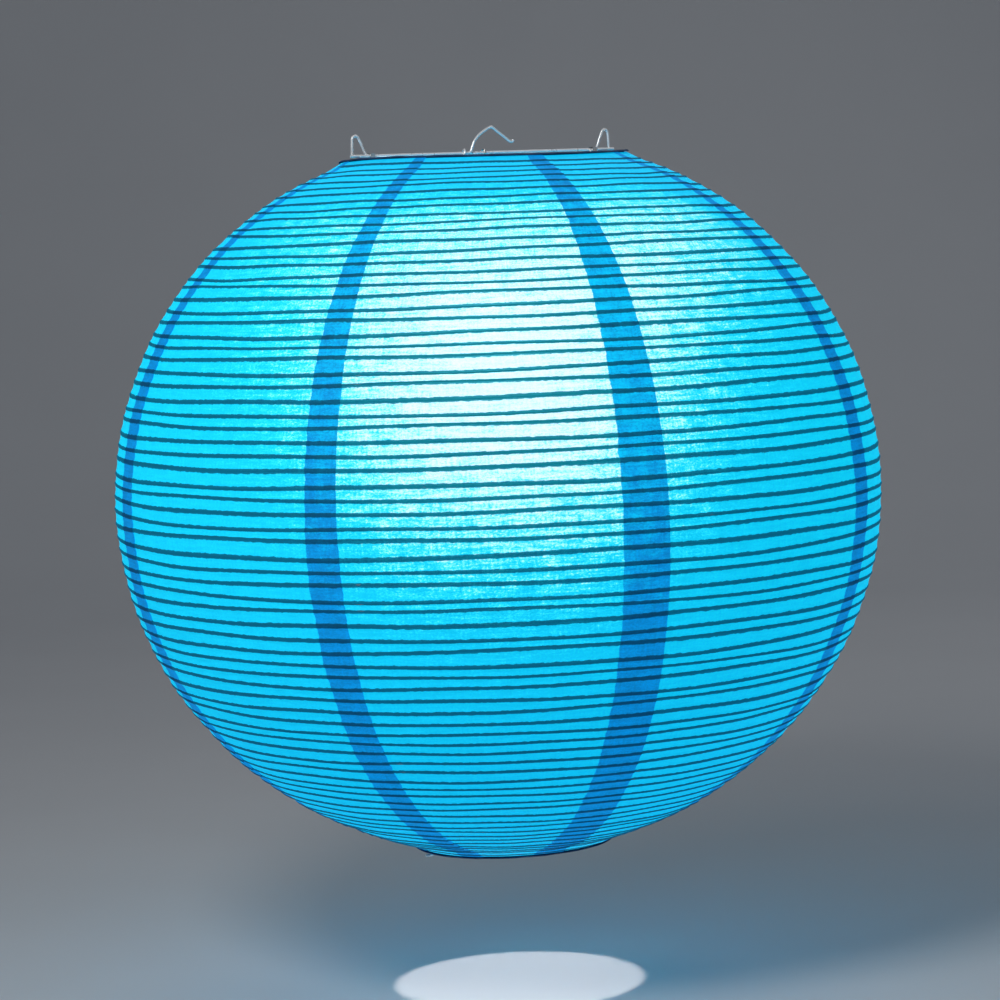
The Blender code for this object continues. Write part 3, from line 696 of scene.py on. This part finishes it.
def build_hem(name, along, radius, outside, material, body):
    """A strip of paper folded round a ring and the ends of the gores, coloured dark as painted shade; outside
    is +1 at the top ring.
    """
    fold = [(0.0026, 0.0029), (0.0012, 0.0038), (0.0002, 0.0040), (-0.0009, 0.0037), (-0.0017, 0.0026)]
    fold += [(-0.0020, 0.0008), (-0.0019, -0.0008), (-0.0013, -0.0018), (0.0003, -0.0021)]
    fold = np.array(eased(fold, 1))
    slope = np.gradient(fold, axis=0)
    out = np.stack([-slope[:, 1], slope[:, 0]], axis=1)
    out /= np.linalg.norm(out, axis=1)[:, None]
    outline = np.concatenate([fold, (fold + HEM_PAPER * out)[::-1]])
    azimuth = 2 * np.pi * np.arange(HEM_SEGMENTS) / HEM_SEGMENTS
    crease = 0.00022 * np.sin(17 * azimuth + 1.1) + 0.00018 * np.sin(41 * azimuth) * np.sin(5 * azimuth + 2)
    r = radius + outline[:, 0][:, None] + crease * np.clip(outline[:, 1] / 0.002, 0, 1)[:, None]
    centre = TOP_CENTRE if along == 0 else BOTTOM_CENTRE
    z = centre.z + outside * outline[:, 1][:, None] + ring_lift(along, azimuth) + 0.6 * crease
    points = np.stack([AXIS.x + r * np.cos(azimuth), AXIS.y + r * np.sin(azimuth), z], axis=-1)
    mesh = loop_mesh(f"{name}_strip", points)
    strip = add_piece(mesh.name, mesh, material, body, [name])


# ---------------------------------------------------------------- the wire expander


def in_plane(s, z, t=0.0):
    """A point of the expander's plane: s along it from the lantern's axis, t out of it to the back."""
    return AXIS + s * U + t * V + Vector((0, 0, z))


def arc(centre, radius, start, end, steps):
    """Points (s, z) of an arc in a plane, with angles in degrees."""
    angles = [math.radians(start + (end - start) * k / steps) for k in range(steps + 1)]
    return [(centre[0] + radius * math.cos(a), centre[1] + radius * math.sin(a)) for a in angles]


def ear(side):
    """(s, z) of the ear that stands over the ring, from its outer end to the crossbar."""
    ends = [(0.1178, -0.0186), (0.1173, -0.0090), *arc((0.1142, -0.0062), 0.003, 10, 170, 6)]
    ends += [(0.1086, -0.0110), (0.1068, -0.0164), (0.1040, BAR_Z), (0.1000, BAR_Z)]
    return [(side * s, z) for s, z in ends]


def hook():
    """(s, z) of the open hook, from its foot on the crossbar over the top to its upturned tip."""
    route = [(-0.0400, BAR_Z), (-0.0215, BAR_Z), (-0.0196, -0.0180), (-0.0182, -0.0146), (-0.0166, -0.0106)]
    route += [(-0.0136, -0.0066), (-0.0098, -0.0036), (-0.0050, -0.0007), (-0.0014, WIRE), (0.0012, WIRE)]
    route += [(0.0069, -0.0034), (0.0127, -0.0074), (0.0167, -0.0106), (0.0190, -0.0109), (0.0199, -0.0096)]
    return [(HOOK_S + s, z) for s, z in route]


def right_arm_route():
    """The right ear and crossbar, with an eye closed round the left arm beside the hook's foot."""
    route = [in_plane(s, z) for s, z in ear(1)] + [in_plane(s, BAR_Z) for s in (0.060, 0.020, -0.005)]
    eye_s, turns, length, steps = -0.0165, 0.92, 0.0036, 18
    route.append(in_plane(eye_s + 0.0065, BAR_Z, EYE + TOUCH))
    for k in range(steps + 1):
        a = 2 * math.pi * turns * k / steps
        s = eye_s - length * k / steps
        route.append(in_plane(s, BAR_Z + EYE * math.sin(a), EYE * math.cos(a)))
    return route


def clip_route(side):
    """The notch that grips the top ring beside the arm, and the pin that the leg hangs on."""
    low = TOP_CENTRE.z - HEM_UNDER - TOUCH - WIRE
    route = [(0.1205, BAR_Z), (0.1150, BAR_Z), (THROAT_S + JAW_BEND, BAR_Z), (THROAT_S, BAR_Z - JAW_BEND)]
    route += [(THROAT_S, low + JAW_BEND), (THROAT_S + JAW_BEND, low), (TOP_RADIUS - 0.002, low)]
    route += [(TOP_RADIUS + 0.0005, low - 0.0016), (TOP_RADIUS - 0.0015, low - 0.0038)]
    route += [(PIN_S + 0.005, PIN_Z + 0.004), (PIN_S + 0.001, PIN_Z + 0.0006)]
    points = [in_plane(side * s, z, -EYE) for s, z in route]
    return [*points, in_plane(side * PIN_S, PIN_Z, 0.0012 - EYE), in_plane(side * PIN_S, PIN_Z, 0.004)]


def leg_route(side):
    """A leg with its eye round the clip's pin, and its foot, a notch that grips the bottom ring."""
    leg_s, out = PIN_S + EYE, BOTTOM_RADIUS + 0.0035
    top = BOTTOM_CENTRE.z + HEM_UNDER + TOUCH + WIRE
    low = BOTTOM_CENTRE.z - HEM_OVER - TOUCH - WIRE
    sweep = math.radians(250.0)
    eye = [sweep * (1 - k / 16) for k in range(17)]
    route = [(PIN_S + EYE * math.cos(a), PIN_Z + EYE * math.sin(a)) for a in eye]
    route += [(leg_s, PIN_Z - 0.02), (leg_s, top + 0.02), (leg_s, top + 0.008)]
    route.append((leg_s + 0.0015, top + 0.0062))
    route += [(out - 0.002, top + 0.0038), (out, top + 0.0022), (out - 0.0016, top), (leg_s + 0.0016, top)]
    route += [(leg_s, top - 0.0016), (leg_s, low + 0.0018), (leg_s + 0.0018, low), (out, low)]
    return [in_plane(side * s, z) for s, z in route]


def build_expander(steel):
    routes = {
        "left_arm": ([in_plane(s, z) for s, z in ear(-1) + hook()], "hanger"),
        "right_arm": (right_arm_route(), "hanger"),
        "left_clip": (clip_route(-1), "hanger"),
        "right_clip": (clip_route(1), "hanger"),
        "left_leg": (leg_route(-1), "left_leg_wire"),
        "right_leg": (leg_route(1), "right_leg_wire"),
    }
    for name, (route, body) in routes.items():
        mesh = wire_mesh(f"{name}_bent_wire", eased(route), WIRE, sides=12)
        add_piece(mesh.name, mesh, steel, body, [name])


# ---------------------------------------------------------------- the other materials


def metal_material(name, colour, roughness, streak, metallic=1.0):
    """Drawn wire or pressed sheet: fine lines along it, duller patches, and a slight bump."""
    mat, tree, shader = new_material(name, colour, roughness, metallic)
    lines = noise(tree, "Object", 900.0, 3, streak)
    dull = noise(tree, "Object", 120.0, 3)
    uneven = weigh(tree, (lines, 0.6), (dull, 0.4))
    shade = blend(tree, uneven, tuple(0.8 * c for c in colour), colour)
    tree.links.new(shade, shader.inputs["Base Color"])
    rough = ramp(tree, weigh(tree, (dull, 0.7), (lines, 0.3)), 0.35, 0.65, roughness * 0.75, roughness * 1.35)
    tree.links.new(rough, shader.inputs["Roughness"])
    add_bump(tree, shader, lines, 0.25, 0.0001)
    return mat


def plastic_material(name, colour, roughness, grain_size=900.0):
    """Moulded plastic: a fine spark-eroded grain, and a little unevenness in its shine."""
    mat, tree, shader = new_material(name, colour, roughness)
    fine = noise(tree, "Object", grain_size, 2)
    broad = noise(tree, "Object", 60.0, 3)
    shade = blend(tree, broad, tuple(0.9 * c for c in colour), tuple(min(1.0, 1.04 * c) for c in colour))
    tree.links.new(shade, shader.inputs["Base Color"])
    tree.links.new(ramp(tree, broad, 0.3, 0.7, roughness * 0.85, roughness * 1.2), shader.inputs["Roughness"])
    add_bump(tree, shader, fine, 0.2, 0.0001)
    return mat


def hem_material():
    # painted shade: the hem's dark navy stands for the folded paper, which lets little of the lamp's light
    # through
    mat, tree, shader = new_material("hem_paper", (0.008, 0.045, 0.13), 0.8)
    fibres = noise(tree, "Object", 500.0, 4, (1.0, 1.0, 2.5), roughness=0.7)
    clouds = noise(tree, "Object", 60.0, 3)
    mixed = ramp(tree, weigh(tree, (fibres, 0.6), (clouds, 0.4)), 0.35, 0.65)
    shade = blend(tree, mixed, (0.004, 0.022, 0.07), (0.010, 0.060, 0.17))
    tree.links.new(shade, shader.inputs["Base Color"])
    tree.links.new(ramp(tree, fibres, 0.3, 0.7, 0.7, 0.9), shader.inputs["Roughness"])
    add_bump(tree, shader, fibres, 0.4, 0.0002)
    return mat


def lit_material(name, colour, glow, strength):
    """Opal plastic lit from behind, a little patchy in its brightness."""
    mat, tree, shader = new_material(name, colour, 0.35)
    cloud = noise(tree, "Object", 45.0, 2)
    tree.links.new(blend(tree, cloud, tuple(0.9 * c for c in glow), glow), shader.inputs["Emission Color"])
    tree.links.new(blend(tree, cloud, tuple(0.94 * c for c in colour), colour), shader.inputs["Base Color"])
    shader.inputs["Emission Strength"].default_value = strength
    return mat


def smooth_copy(name, body, material):
    """A piece in the CAD's own shape, shaded smooth over its rounds and sharp at its edges."""
    node = NODES[name]
    work = bmesh.new()
    work.from_mesh(node.data)
    bmesh.ops.transform(work, matrix=node.matrix_world, verts=work.verts)
    bmesh.ops.remove_doubles(work, verts=work.verts, dist=WELD)
    mesh = bpy.data.meshes.new(f"{name}_moulding")
    work.to_mesh(mesh)
    work.free()
    mesh.shade_smooth()
    mesh.set_sharp_from_angle(angle=math.radians(35))
    add_piece(mesh.name, mesh, material, body, [name])


def finish_light():
    """The light's mouldings become smooth copies, and its other parts keep their CAD meshes."""
    shell = plastic_material("light_shell", (0.80, 0.80, 0.77), 0.42)
    metal = metal_material("light_metal", (0.75, 0.73, 0.68), 0.28, (1.0, 1.0, 0.2))
    wrap = plastic_material("cell_wrap", (0.05, 0.06, 0.08), 0.3)
    board = plastic_material("circuit_board", (0.02, 0.16, 0.06), 0.4, 1500.0)
    slider = plastic_material("switch_plastic", (0.06, 0.06, 0.07), 0.5)
    phosphor = lit_material("led_phosphor", (0.9, 0.75, 0.2), (1.0, 0.85, 0.5), 4.0)
    globe = lit_material("globe_plastic", (0.95, 0.95, 0.92), (1.0, 0.97, 0.90), 14.0)
    crimp = metal_material("crimp_steel", (0.62, 0.62, 0.62), 0.34, (1.0, 0.2, 1.0))
    smooth_copy("battery_cover", "light_top", shell)
    smooth_copy("light_housing", "lamp", shell)
    smooth_copy("globe_diffuser", "lamp", globe)
    metal_parts = ["light_hook", "contact_plate", "board_screw_1", "board_screw_2"]
    metal_parts += [f"cell_spring_{number}" for number in (1, 2, 3)]
    finishes = (
        (wrap, [f"battery_cell_{number}" for number in (1, 2, 3)]),
        (metal, metal_parts),
        (board, ["led_board"]),
        (slider, ["switch_slider"]),
        (phosphor, ["led_chip"]),
        (crimp, ["left_ferrule", "right_ferrule"]),
    )
    for finish, names in finishes:
        for name in names:
            NODES[name].data.materials[0] = finish


def main():
    add_camera()
    add_stage()
    add_lights()
    paper = paper_material()
    build_spiral(metal_material("rib_wire", (0.30, 0.32, 0.34), 0.5, (1.0, 1.0, 0.2)))
    for number in range(GORES):
        build_gore(number, paper)
    ring_steel = metal_material("ring_steel", (0.35, 0.35, 0.36), 0.45, (1.0, 1.0, 0.2))
    build_ring("top_ring", 0.0, TOP_RADIUS, ring_steel, "hanger")
    build_ring("bottom_ring", LENGTH, BOTTOM_RADIUS, ring_steel, "bottom_hoop")
    hem_paper = hem_material()
    build_hem("top_hem", 0.0, TOP_RADIUS, 1, hem_paper, "hanger")
    build_hem("bottom_hem", LENGTH, BOTTOM_RADIUS, -1, hem_paper, "bottom_hoop")
    # the expander's near-white colour is partly painted light, for the lamp lighting the wire from below
    build_expander(metal_material("expander_steel", (0.98, 0.98, 0.98), 0.34, (1.0, 1.0, 0.2), metallic=0.45))
    finish_light()


main()
